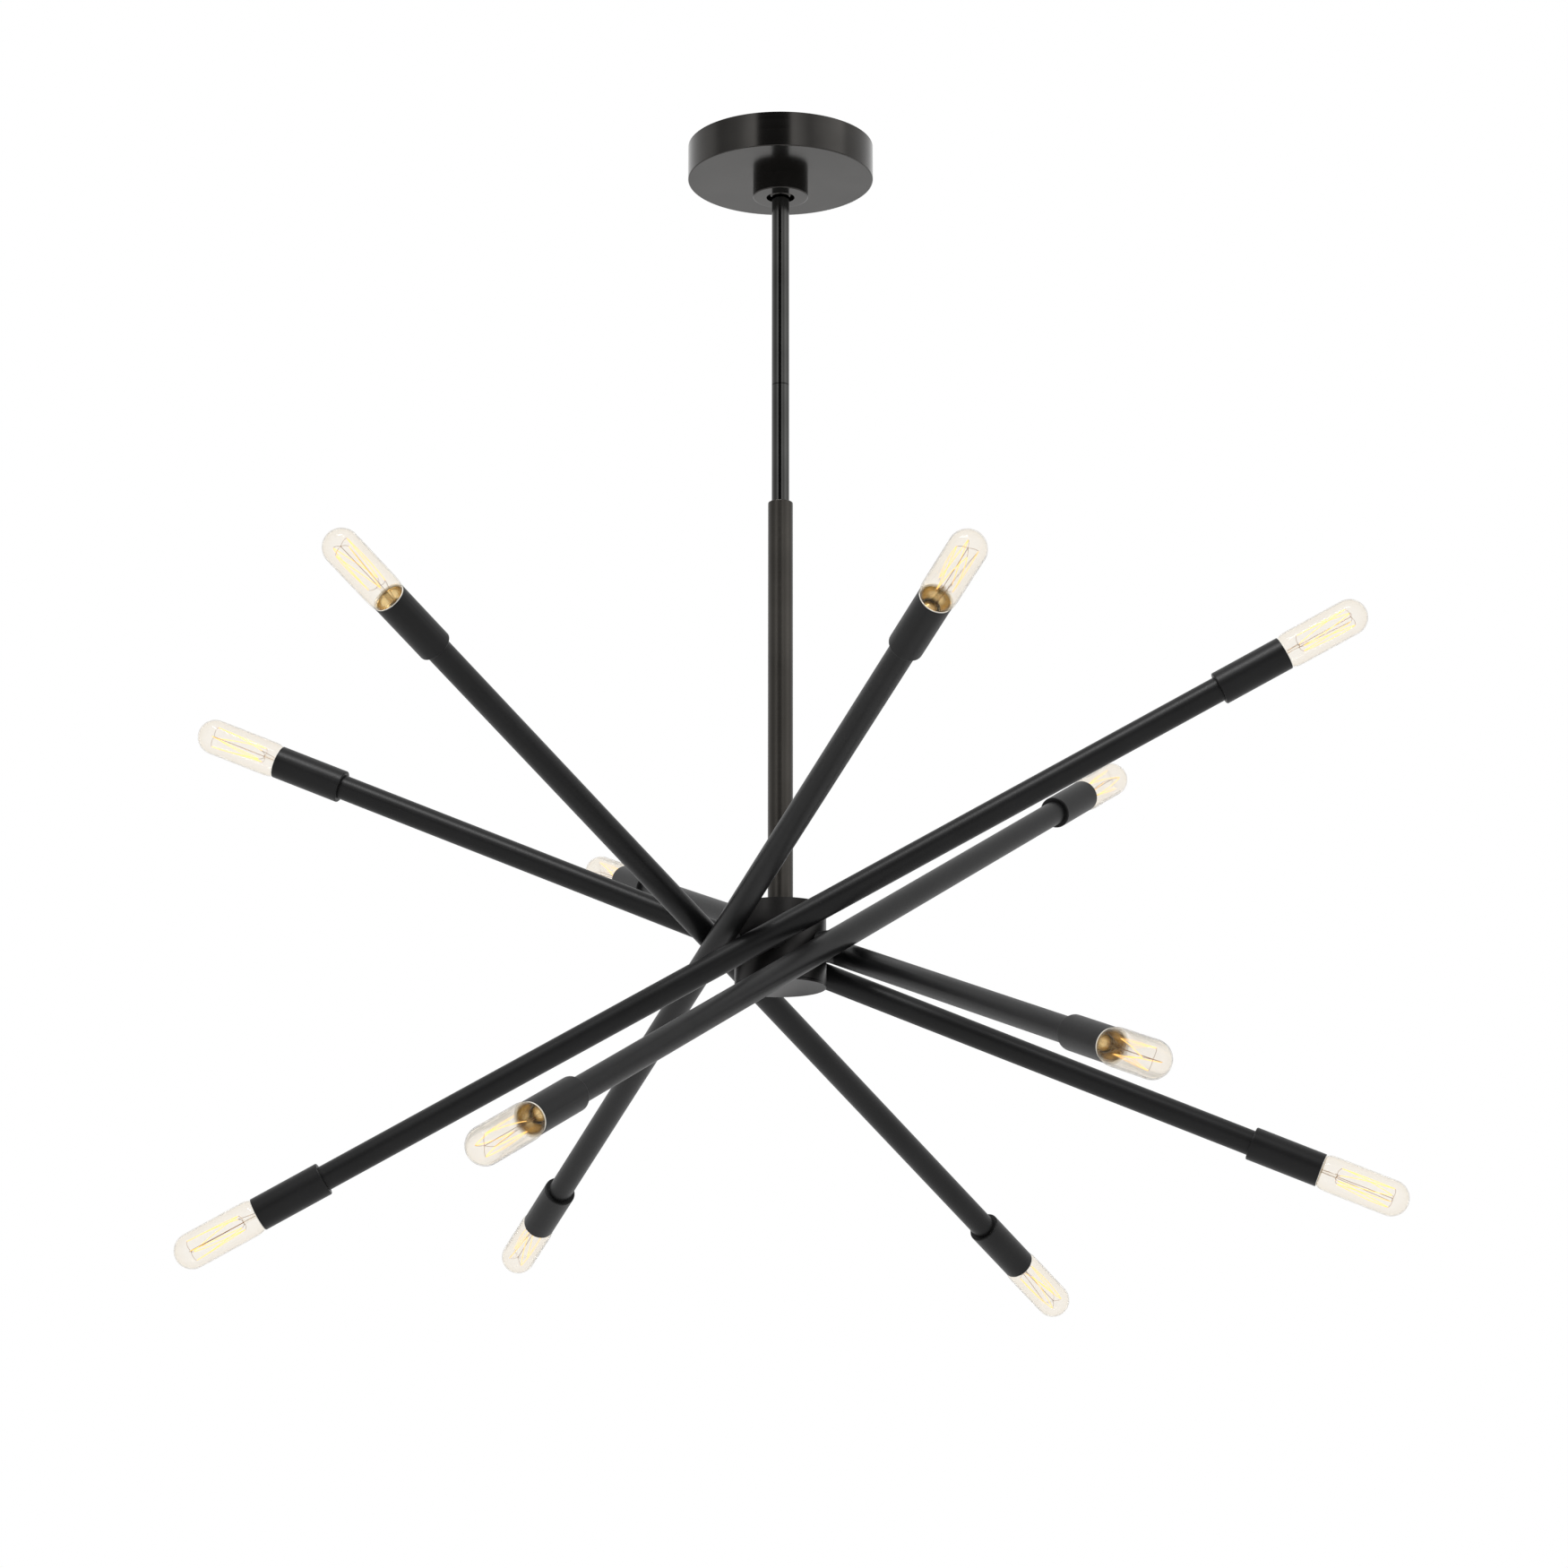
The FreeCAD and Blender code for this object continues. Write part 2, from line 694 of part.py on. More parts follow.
def make_arms():
    patterns = {
        "arm_tube": pattern_arm_tube(),
        "arm_pivot": pattern_pivot(),
        "socket_cups": both_ends("cups", pattern_cup()),
        "lamp_sockets": both_ends("sockets", pattern_socket()),
        "bulb_bases": both_ends("bases", pattern_base()),
        "bulb_glass": both_ends("glass", pattern_glass()),
        "bulb_filaments": both_ends("filaments", pattern_filament()),
    }
    nodes = []
    for number, word in enumerate(ARM_WORDS, start=1):
        place = arm_placement(word)
        for name, pattern in patterns.items():
            nodes.append(group("%s_%d" % (name, number), [pattern], place))
    return nodes


# ---------------------------------------------------------------- build, check and write
def build_all():
    nodes = [make_canopy(), make_crossbar(), make_nipple(), make_nipple_nuts(),
             make_ground_screw(), make_swivel_housing(), make_swivel_collar(), make_swivel_pin(),
             make_swivel_ball(), make_upper_stem(), make_stem_coupler(), make_lower_stem(),
             make_sleeve_tube(), make_sleeve_cap(), make_hub_shell(), make_hub_cover(),
             make_hub_nut()]
    nodes += make_arms()
    doc.recompute()
    return nodes


def check_all(nodes):
    for item in doc.Objects:
        if "Invalid" in item.State or "Error" in item.State:
            raise RuntimeError("%s did not build: %s" % (item.Label, item.State))
    for node in nodes:
        if node.Shape.isNull() or not node.Shape.isValid() or not node.Shape.Solids:
            raise RuntimeError("%s has no valid solid" % node.Label)


def write_all(nodes):
    os.makedirs("parts", exist_ok=True)
    for node in nodes:
        node.Shape.exportStep("parts/%s.step" % node.Label)
        print("%-18s %2d solid(s) %12.1f mm3" % (
            node.Label, len(node.Shape.Solids), node.Shape.Volume))


all_nodes = build_all()
check_all(all_nodes)
write_all(all_nodes)
print("levels: ball %.3f hub middle %.3f" % (ball_centre.value, hub_middle.value))
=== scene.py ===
"""Looks for the sputnik chandelier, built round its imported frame.

The CAD nodes keep their shapes and get their finishes here. The bulbs, their brass bases, the trim
in the cups' mouths and the threads are new surfaces on grids, which take their places from the
frame.
Metres, +Z up, the ceiling at Z = 0 and the front at -Y.
"""
import json
import math

import bmesh
import bpy
import numpy as np
from bpy.props import FloatProperty, FloatVectorProperty, IntProperty, PointerProperty
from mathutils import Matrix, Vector


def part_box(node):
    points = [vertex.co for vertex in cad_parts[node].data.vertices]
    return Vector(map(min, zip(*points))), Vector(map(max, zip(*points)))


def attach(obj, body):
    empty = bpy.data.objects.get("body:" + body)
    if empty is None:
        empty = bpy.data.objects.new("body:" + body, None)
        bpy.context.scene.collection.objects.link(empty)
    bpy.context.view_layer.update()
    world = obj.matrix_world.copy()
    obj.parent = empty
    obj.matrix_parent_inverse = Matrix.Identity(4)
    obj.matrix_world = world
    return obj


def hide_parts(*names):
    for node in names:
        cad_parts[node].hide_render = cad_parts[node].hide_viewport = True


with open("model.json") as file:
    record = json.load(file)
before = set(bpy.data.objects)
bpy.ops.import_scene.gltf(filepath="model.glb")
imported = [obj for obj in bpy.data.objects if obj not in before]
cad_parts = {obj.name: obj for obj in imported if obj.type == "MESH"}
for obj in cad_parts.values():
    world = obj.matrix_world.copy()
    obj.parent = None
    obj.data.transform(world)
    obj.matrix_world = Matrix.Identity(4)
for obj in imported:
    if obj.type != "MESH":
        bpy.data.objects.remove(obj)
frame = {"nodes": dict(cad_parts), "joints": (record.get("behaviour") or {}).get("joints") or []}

bl_info = {
    "name": "Sputnik chandelier",
    "version": (1, 0, 0),
    "blender": (4, 5, 0),
    "location": "View3D > Sidebar > Chandelier",
    "description": "Finishes, bulbs and stage for a sputnik chandelier",
    "category": "Object",
}

MILLIMETRE = 0.001
WELD = 1e-6
ARM_NUMBERS = range(1, 7)
TURN = 2 * math.pi


# ---------------------------------------------------------------- places read from the frame
def node_points(node):
    """All the vertices of a CAD node, as an array of points."""
    mesh = frame["nodes"][node].data
    points = np.empty(len(mesh.vertices) * 3)
    mesh.vertices.foreach_get("co", points)
    return points.reshape(-1, 3)


def unit(vector):
    return vector / np.linalg.norm(vector)


class Axis:
    """A place with its own directions: along, side and up, at right angles to each other."""

    def __init__(self, origin, along, side):
        self.origin = np.array(origin, float)
        self.along = unit(np.array(along, float))
        self.side = unit(np.array(side, float))
        self.up = np.cross(self.along, self.side)

    def place(self, along, side, up):
        """Points of the frame from distances along the three directions."""
        return (self.origin + np.multiply.outer(along, self.along)
                + np.multiply.outer(side, self.side) + np.multiply.outer(up, self.up))

    def turned_round(self):
        return Axis(self.origin, -self.along, -self.side)

    def reach(self, node):
        """Nearest and furthest distance of a node's points from the origin, either way along."""
        distance = np.abs((node_points(node) - self.origin) @ self.along)
        return float(distance.min()), float(distance.max())


def arm_axis(number):
    """An arm's middle, its direction towards the raised end, and the way to the hub."""
    pivot = next(j for j in frame["joints"] if j["name"] == "arm_%d_pivot" % number)
    points = node_points("arm_tube_%d" % number)
    spread = points - points.mean(axis=0)
    along = np.linalg.eigh(spread.T @ spread)[1][:, -1]
    if along[2] < 0:
        along = -along
    outward = np.array(pivot["axis"], float)
    return Axis(pivot["pos_m"], along, -outward)


def in_millimetres(length):
    return length * MILLIMETRE


# ---------------------------------------------------------------- surfaces on grids
def lathe(along, radius, segments):
    """Surface of revolution: (along, r cos v, r sin v) for each step of the profile."""
    angle = np.linspace(0, TURN, segments, endpoint=False)
    return np.stack([np.repeat(along[:, None], segments, axis=1),
                     np.outer(radius, np.cos(angle)),
                     np.outer(radius, np.sin(angle))], axis=-1)


def screw_thread(start, end, radius, depth, pitch, steps, segments):
    """Threaded cylinder: r = radius - depth (1 - cos(turns)) / 2, turns = 2 pi along / pitch - v."""
    along = np.linspace(start, end, steps)
    angle = np.linspace(0, TURN, segments, endpoint=False)
    turns = TURN * along[:, None] / pitch - angle[None, :]
    fade = np.clip(np.minimum(along - start, end - along) / pitch, 0, 1)[:, None]
    depths = depth * fade * (1 - np.cos(turns)) / 2 + depth * (1 - fade)
    surface = lathe(along, np.ones(steps), segments)
    surface[..., 1:] *= (radius - depths)[..., None]
    return surface


def wire(path, radius, sideways, segments=8):
    """Round wire: path + r (cos v N + sin v B), with N = T x sideways and B = T x N.

    T is the path's own direction. The wire closes to a point at both ends.
    """
    tangent = np.gradient(path, axis=0)
    tangent /= np.linalg.norm(tangent, axis=1)[:, None]
    normal = np.cross(tangent, sideways)
    normal /= np.linalg.norm(normal, axis=1)[:, None]
    across = np.cross(tangent, normal)
    angle = np.linspace(0, TURN, segments, endpoint=False)
    ring = (normal[:, None] * np.cos(angle)[None, :, None]
            + across[:, None] * np.sin(angle)[None, :, None])
    rings = path[:, None] + ring * radius
    first = np.repeat(path[:1, None], segments, axis=1)
    last = np.repeat(path[-1:, None], segments, axis=1)
    return np.concatenate([first, rings, last])


def smooth_step(value):
    """3 t^2 - 2 t^3 for t held between 0 and 1."""
    t = np.clip(value, 0, 1)
    return t * t * (3 - 2 * t)


class Piece:
    """Grids gathered into one mesh and welded where they meet."""

    def __init__(self, name):
        self.name = name
        self.points = []
        self.quads = []
        self.values = []
        self.count = 0

    def add(self, axis, surface, value=None):
        """Add a grid in an axis's own directions, closed round its second parameter."""
        rows, columns = surface.shape[:2]
        index = np.arange(rows * columns).reshape(rows, columns) + self.count
        index = np.hstack([index, index[:, :1]])
        quads = np.stack([index[:-1, :-1], index[:-1, 1:], index[1:, 1:], index[1:, :-1]], axis=-1)
        self.points.append(axis.place(surface[..., 0], surface[..., 1], surface[..., 2]).reshape(-1, 3))
        self.quads.append(quads.reshape(-1, 4))
        if value is None:
            value = np.zeros(rows)
        self.values.append(np.repeat(value, columns))
        self.count += rows * columns

    def build(self, material, body, replaced=(), attribute=None):
        """Make the object: weld, point the faces outwards, shade smooth, and ride on its body."""
        mesh = bpy.data.meshes.new(self.name)
        mesh.from_pydata(np.concatenate(self.points), [], np.concatenate(self.quads))
        if attribute is not None:
            layer = mesh.attributes.new(attribute, "FLOAT", "POINT")
            layer.data.foreach_set("value", np.concatenate(self.values).astype(np.float32))
        shell = bmesh.new()
        shell.from_mesh(mesh)
        bmesh.ops.remove_doubles(shell, verts=shell.verts, dist=WELD)
        bmesh.ops.recalc_face_normals(shell, faces=shell.faces)
        shell.to_mesh(mesh)
        shell.free()
        mesh.shade_smooth()
        mesh.materials.append(material)
        piece = bpy.data.objects.new(self.name, mesh)
        bpy.context.scene.collection.objects.link(piece)
        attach(piece, body)
        if replaced:
            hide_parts(*replaced)


# ---------------------------------------------------------------- materials
class Graph:
    """A node tree, with short ways to add and join nodes."""

    def __init__(self, tree):
        self.tree = tree

    def node(self, kind, **settings):
        node = self.tree.nodes.new(kind)
        for name, value in settings.items():
            setattr(node, name, value)
        return node

    def join(self, output, target):
        self.tree.links.new(output, target)

    def feed(self, operand, socket):
        """Link an output to a socket, or set the socket to a plain value."""
        if isinstance(operand, bpy.types.NodeSocket):
            self.join(operand, socket)
        else:
            socket.default_value = operand

    def math(self, operation, first, second=0.0):
        """One Math node; each operand is a number or another node's output."""
        node = self.node("ShaderNodeMath", operation=operation)
        for socket, operand in zip(node.inputs, (first, second)):
            self.feed(operand, socket)
        return node.outputs[0]

    def larger(self, first, second):
        return self.math("MAXIMUM", first, second)

    def product(self, first, second):
        return self.math("MULTIPLY", first, second)

    def off_axis(self, across, depth):
        """Distance from the Z axis."""
        squares = self.math("ADD", self.product(across, across), self.product(depth, depth))
        return self.math("SQRT", squares)

    def spread(self, factor, low, high, begin=0.3, end=0.7, shape="LINEAR"):
        """Map a factor from begin..end to low..high."""
        node = self.node("ShaderNodeMapRange", interpolation_type=shape)
        for name, value in (("From Min", begin), ("From Max", end), ("To Min", low), ("To Max", high)):
            node.inputs[name].default_value = value
        self.join(factor, node.inputs["Value"])
        return node.outputs["Result"]

    def between(self, factor, first, second):
        """A number between two numbers, by a factor."""
        node = self.node("ShaderNodeMix", data_type="FLOAT")
        for socket, operand in zip((node.inputs[0], *node.inputs[2:4]), (factor, first, second)):
            self.feed(operand, socket)
        return node.outputs[0]


class Finish(Graph):
    """A new material with its shader, its colours and its textures."""

    def __init__(self, name):
        self.material = bpy.data.materials.new(name)
        self.material.use_nodes = True
        super().__init__(self.material.node_tree)
        self.shader = self.tree.nodes["Principled BSDF"]
        self.object_place = self.node("ShaderNodeTexCoord").outputs["Object"]

    def set(self, **sockets):
        for name, value in sockets.items():
            self.shader.inputs[SOCKETS[name]].default_value = value

    def noise(self, place, scale, detail=3.0, roughness=0.5):
        node = self.node("ShaderNodeTexNoise")
        node.inputs["Scale"].default_value = scale
        node.inputs["Detail"].default_value = detail
        node.inputs["Roughness"].default_value = roughness
        self.join(place, node.inputs["Vector"])
        return node.outputs["Fac"]

    def blend(self, factor, first, second):
        """A colour between two colours, by a factor."""
        node = self.node("ShaderNodeMix", data_type="RGBA")
        self.join(factor, node.inputs[0])
        for socket, colour in zip(node.inputs[6:8], (first, second)):
            self.feed((*colour, 1.0) if isinstance(colour, tuple) else colour, socket)
        return node.outputs[2]

    def bump(self, height, strength, depth):
        node = self.node("ShaderNodeBump")
        node.inputs["Strength"].default_value = strength
        node.inputs["Distance"].default_value = depth
        self.join(height, node.inputs["Height"])
        self.join(node.outputs["Normal"], self.shader.inputs["Normal"])

    def turned_place(self):
        """Coordinates of lathe lines about Z, the radius and the height, and the height alone."""
        parts = self.node("ShaderNodeSeparateXYZ")
        self.join(self.object_place, parts.inputs[0])
        across, depth, height = parts.outputs
        place = self.node("ShaderNodeCombineXYZ")
        self.join(self.off_axis(across, depth), place.inputs[0])
        self.join(height, place.inputs[1])
        return place.outputs[0], height


SOCKETS = {
    "metal": "Metallic", "roughness": "Roughness", "ior": "IOR",
    "specular": "Specular IOR Level", "transmission": "Transmission Weight",
    "coat": "Coat Weight", "coat_roughness": "Coat Roughness",
    "glow": "Emission Color", "glow_strength": "Emission Strength",
}


def brushed_gunmetal(name, colour, roughness, seam=None):
    """Dark plated metal with fine lathe lines, and a thin dark line where two pieces meet."""
    finish = Finish(name)
    lines_place, height = finish.turned_place()
    lines = finish.noise(lines_place, LATHE_LINES, detail=4.0, roughness=0.7)
    cloud = finish.noise(finish.object_place, 22.0)
    dark = tuple(channel * 0.8 for channel in colour)
    light = tuple(channel * 1.12 for channel in colour)
    shade = finish.blend(finish.spread(cloud, 0.0, 1.0), dark, light)
    shade = finish.blend(finish.spread(lines, 0.0, 0.3), shade, light)
    if seam is not None:
        away = finish.math("ABSOLUTE", finish.math("SUBTRACT", height, seam))
        near = finish.math("LESS_THAN", away, SEAM_HALF_WIDTH)
        shade = finish.blend(near, shade, (0.004, 0.004, 0.004))
    finish.join(shade, finish.shader.inputs["Base Color"])
    rough = finish.spread(lines, roughness * 0.85, roughness * 1.2)
    finish.join(rough, finish.shader.inputs["Roughness"])
    finish.set(metal=1.0)
    finish.bump(lines, 0.12, 0.00005)
    return finish.material


def powder_coat(name, colour, roughness):
    """Matte black paint with a fine orange-peel surface."""
    finish = Finish(name)
    peel = finish.noise(finish.object_place, PEEL_SCALE, detail=2.0)
    cloud = finish.noise(finish.object_place, 30.0)
    light = tuple(channel * 1.5 for channel in colour)
    finish.join(finish.blend(finish.spread(cloud, 0.0, 1.0), colour, light),
                finish.shader.inputs["Base Color"])
    finish.join(finish.spread(peel, roughness * 0.93, roughness * 1.08),
                finish.shader.inputs["Roughness"])
    finish.set(specular=0.2)
    finish.bump(peel, 0.18, 0.00008)
    return finish.material


def worked_metal(name, colour, roughness):
    """Bare or plated metal with fine grain and faint stains."""
    finish = Finish(name)
    grain = finish.noise(finish.object_place, 900.0, detail=4.0)
    stain = finish.noise(finish.object_place, 120.0)
    dark = tuple(channel * 0.72 for channel in colour)
    finish.join(finish.blend(finish.spread(stain, 0.0, 1.0), dark, colour),
                finish.shader.inputs["Base Color"])
    finish.join(finish.spread(grain, roughness * 0.8, roughness * 1.3),
                finish.shader.inputs["Roughness"])
    finish.set(metal=1.0)
    finish.bump(grain, 0.1, 0.00005)
    return finish.material


def glazed_porcelain(name, colour, roughness):
    """White glazed ceramic with a little mottling in the glaze."""
    finish = Finish(name)
    glaze = finish.noise(finish.object_place, 260.0)
    dark = tuple(channel * 0.9 for channel in colour)
    finish.join(finish.blend(finish.spread(glaze, 0.0, 1.0), dark, colour),
                finish.shader.inputs["Base Color"])
    finish.join(finish.spread(glaze, roughness * 0.8, roughness * 1.3),
                finish.shader.inputs["Roughness"])
    finish.set(coat=0.4, coat_roughness=0.08)
    finish.bump(glaze, 0.08, 0.00005)
    return finish.material


def clear_glass(name, colour, edge_colour, waviness):
    """Thin blown glass: clear seen square on, and a deeper warm tint where the wall is seen along."""
    finish = Finish(name)
    waves = finish.noise(finish.object_place, 45.0, detail=1.0)
    tint = tuple(channel * 0.97 for channel in colour)
    facing = finish.node("ShaderNodeLayerWeight")
    facing.inputs["Blend"].default_value = 0.3
    body = finish.blend(finish.spread(waves, 0.0, 1.0), tint, colour)
    finish.join(finish.blend(facing.outputs["Facing"], body, edge_colour),
                finish.shader.inputs["Base Color"])
    finish.join(finish.spread(facing.outputs["Facing"], GLASS_BODY, GLASS_EDGE, 0.0, 1.0),
                finish.shader.inputs["Alpha"])
    finish.set(transmission=1.0, roughness=0.0, ior=GLASS_IOR, coat=0.3, coat_roughness=0.03)
    finish.bump(waves, waviness, 0.0003)
    return finish.material


def glowing_wire(name, hot, cool, strength):
    """Filament: hot in the middle of each run and cooler at the hooks."""
    finish = Finish(name)
    heat = finish.node("ShaderNodeAttribute", attribute_name="heat").outputs["Fac"]
    flicker = finish.noise(finish.object_place, 300.0)
    level = finish.product(heat, finish.spread(flicker, 0.85, 1.0))
    glow = finish.blend(level, cool, hot)
    finish.join(glow, finish.shader.inputs["Emission Color"])
    finish.join(glow, finish.shader.inputs["Base Color"])
    finish.set(roughness=0.5, glow_strength=strength)
    return finish.material


GLASS_IOR = 1.03
GLASS_BODY = 0.3
GLASS_EDGE = 0.65
LATHE_LINES = 1600.0
PEEL_SCALE = 1100.0
SEAM_HALF_WIDTH = 0.00035


# ---------------------------------------------------------------- settings
def length_setting(name, description, default):
    return FloatProperty(name=name, description=description, default=default, min=0.0,
                         subtype="DISTANCE", unit="LENGTH", precision=5)


def colour_setting(name, description, default):
    return FloatVectorProperty(name=name, description=description, default=default, size=3,
                               min=0.0, max=1.0, subtype="COLOR")


def share_setting(name, description, default):
    return FloatProperty(name=name, description=description, default=default, min=0.0, max=1.0,
                         subtype="FACTOR")


class ChandelierFinishes(bpy.types.PropertyGroup):
    powder: colour_setting("Powder coat", "Paint of the arms and cups", (0.0045, 0.0045, 0.0047))
    powder_roughness: share_setting("Powder roughness", "Roughness of the paint", 0.4)
    gunmetal: colour_setting("Gunmetal", "Plating of the canopy and collar", (0.046, 0.044, 0.0415))
    gunmetal_roughness: share_setting("Gunmetal roughness", "Roughness of the plating", 0.17)
    hub: colour_setting("Hub", "Plating of the drum hub", (0.031, 0.030, 0.0295))
    hub_roughness: share_setting("Hub roughness", "Roughness of the hub", 0.36)
    stem: colour_setting("Stem", "Plating of the thin stem", (0.062, 0.062, 0.06))
    stem_roughness: share_setting("Stem roughness", "Roughness of the stem", 0.13)
    sleeve: colour_setting("Sleeve", "Plating of the sleeve", (0.05, 0.0465, 0.042))
    sleeve_roughness: share_setting("Sleeve roughness", "Roughness of the sleeve", 0.34)
    zinc: colour_setting("Zinc", "Hidden steel fittings", (0.6, 0.6, 0.58))
    green: colour_setting("Ground screw", "Colour of the ground screw", (0.03, 0.3, 0.08))
    porcelain: colour_setting("Porcelain", "Lamp sockets", (0.86, 0.84, 0.78))
    brass: colour_setting("Brass", "Bulb bases", (0.95, 0.78, 0.44))


class ChandelierBulbs(bpy.types.PropertyGroup):
    tint: colour_setting("Glass tint", "Colour of the envelope", (0.9, 0.825, 0.71))
    edge: colour_setting("Glass edge", "Colour of the glass seen along its wall", (0.83, 0.76, 0.65))
    waviness: share_setting("Waves", "Depth of the waves in the glass", 0.02)
    wall: length_setting("Glass wall", "Thickness of the envelope", in_millimetres(0.8))
    neck_swell: length_setting("Neck swell", "Length over which the neck widens",
                               in_millimetres(2.0))
    runs: IntProperty(name="Filament runs", description="Lengthwise runs of each filament",
                      default=7, min=2, max=24)
    cage_foot: length_setting("Cage foot", "Filament radius near the base", in_millimetres(7.0))
    cage_head: length_setting("Cage head", "Filament radius near the tip", in_millimetres(7.8))
    strand: length_setting("Strand", "Radius of the filament", in_millimetres(0.27))
    hook: length_setting("Hook wire", "Radius of the support wires", in_millimetres(0.14))
    hot: colour_setting("Hot", "Glow of the filament's runs", (1.0, 0.8, 0.36))
    cool: colour_setting("Cool", "Glow at the hooks", (0.95, 0.55, 0.14))
    glow: FloatProperty(name="Glow", description="Strength of the filament's light",
                        default=1.0, min=0.0, max=20.0)
    thread_pitch: length_setting("Base pitch", "Pitch of the base's thread", in_millimetres(2.5))
    thread_depth: length_setting("Base depth", "Depth of the base's thread", in_millimetres(0.6))


class ChandelierStage(bpy.types.PropertyGroup):
    floor_drop: length_setting("Floor", "Depth of the floor below the ceiling", 2.6)
    floor: colour_setting("Floor colour", "Plain pale floor", (0.86, 0.86, 0.86))
    distance: length_setting("Camera distance", "From the middle of the arms", 3.314)
    elevation: FloatProperty(name="Elevation", description="How far below the arms the camera is",
                             default=math.radians(12.24), subtype="ANGLE", unit="ROTATION")
    pitch: FloatProperty(name="Pitch", description="How far up the camera looks",
                         default=math.radians(14.354), subtype="ANGLE", unit="ROTATION")
    yaw: FloatProperty(name="Yaw", description="How far right the camera looks",
                       default=math.radians(0.048), subtype="ANGLE", unit="ROTATION")
    lens: FloatProperty(name="Lens", description="Focal length in millimetres", default=101.64,
                        min=1.0)
    sky: FloatProperty(name="Sky", description="Strength of the even light", default=0.75, min=0.0)
    key: FloatProperty(name="Key", description="Power of the lamp above and in front",
                       default=51.2, min=0.0, unit="POWER")


# ---------------------------------------------------------------- the bulb's own measures
class BulbPlan:
    """Distances from an arm's middle, along the arm, to the parts of its bulbs."""

    def __init__(self, number, settings):
        self.axis = arm_axis(number)
        self.base_foot, self.base_head = self.axis.reach("bulb_bases_%d" % number)
        self.mouth = self.axis.reach("socket_cups_%d" % number)[1]
        self.foot, self.tip = self.axis.reach("bulb_glass_%d" % number)
        filament = self.axis.reach("bulb_filaments_%d" % number)
        self.cage_head = filament[1] - settings.strand
        self.cage_foot = self.foot + (filament[1] - self.foot) * CAGE_FOOT_SHARE
        points = node_points("bulb_glass_%d" % number) - self.axis.origin
        square_off = points - np.outer(points @ self.axis.along, self.axis.along)
        self.glass_radius = float(np.linalg.norm(square_off, axis=1).max())
        self.neck_radius = self.glass_radius - NECK_INSET
        self.rim_radius = self.glass_radius - RIM_INSET
        self.base_radius = BASE_RADIUS

    def ends(self):
        return self.axis, self.axis.turned_round()


def envelope_radius(plan, along, swell):
    """Radius of the envelope: a round foot, a neck in the cup, and an even swell outside it."""
    foot = plan.base_radius + (plan.neck_radius - plan.base_radius) * np.sin(
        np.clip((along - plan.foot) / (plan.mouth - plan.foot), 0, 1) * math.pi / 2)
    swollen = (plan.glass_radius - plan.neck_radius) * (
        1 - np.exp(-np.maximum(along - plan.mouth, 0) / swell))
    return foot + swollen


def envelope_profile(plan, inset, swell):
    """The wall's profile from the foot to the tip, drawn in by an inset, with a half-round end."""
    dome = plan.tip - plan.glass_radius
    straight = np.linspace(plan.foot, dome, ENVELOPE_STEPS)
    angle = np.linspace(0, math.pi / 2, DOME_STEPS)[1:]
    full = plan.glass_radius - inset
    along = np.concatenate([straight, dome + full * np.sin(angle)])
    side = envelope_radius(plan, straight, swell) - inset
    radius = np.concatenate([side, side[-1] * np.cos(angle)])
    return along, np.maximum(radius, 0.0)


# the bulb's own measures
BASE_RADIUS = in_millimetres(6.0)
NECK_INSET = in_millimetres(2.85)
RIM_INSET = in_millimetres(2.2)
CAGE_FOOT_SHARE = 0.36
# how far the glass stays inside the CAD glass, and the steps of its surfaces
SKIN = in_millimetres(0.1)
ENVELOPE_STEPS = 40
DOME_STEPS = 16
ROUND = 48


def cage_path(plan, settings, start, stop, steps):
    """The filament as one line: it runs between foot and head while its angle turns evenly.

    With t counted in runs, along = middle + half asin(k sin(pi (t - 1/2))) / asin(k), the
    angle is t times one step, a little uneven as strung by hand, and the radius goes from foot
    to head with the height.
    """
    t = np.linspace(start, stop, steps)
    height = np.arcsin(HAIRPIN * np.sin(math.pi * (t - 0.5))) / math.asin(HAIRPIN)
    middle = (plan.cage_head + plan.cage_foot) / 2
    half = (plan.cage_head - plan.cage_foot) / 2
    share = (height + 1) / 2
    radius = settings.cage_foot + (settings.cage_head - settings.cage_foot) * share
    angle = CAGE_START + (t + UNEVEN * np.sin(UNEVEN_RATE * t)) * CAGE_TURN / settings.runs
    sideways = np.stack([np.zeros(steps), np.cos(angle), np.sin(angle)], axis=1)
    path = np.stack([middle + half * height, radius * np.cos(angle), radius * np.sin(angle)], axis=1)
    return path, sideways, 1 - np.abs(height) ** 6


HAIRPIN = 0.996
CAGE_START = math.radians(20)
CAGE_TURN = math.radians(340)
# how uneven the strung runs are, and over how many runs
UNEVEN = 0.22
UNEVEN_RATE = 2.4
RUN_STEPS = 24


def curved_wire(points, radius):
    """A wire on the Bezier curve of three or four points, in the axis's own directions."""
    t = np.linspace(0, 1, WIRE_STEPS)[:, None]
    corners = [np.array(p, float) for p in points]
    while len(corners) > 1:
        corners = [a * (1 - t) + b * t for a, b in zip(corners[:-1], corners[1:])]
    return wire(corners[0], radius, WIRE_SIDEWAYS, segments=6)


WIRE_STEPS = 24
# a slanting direction, which the wires' cross-sections are set by
WIRE_SIDEWAYS = np.array([0.31, 0.52, 0.79])


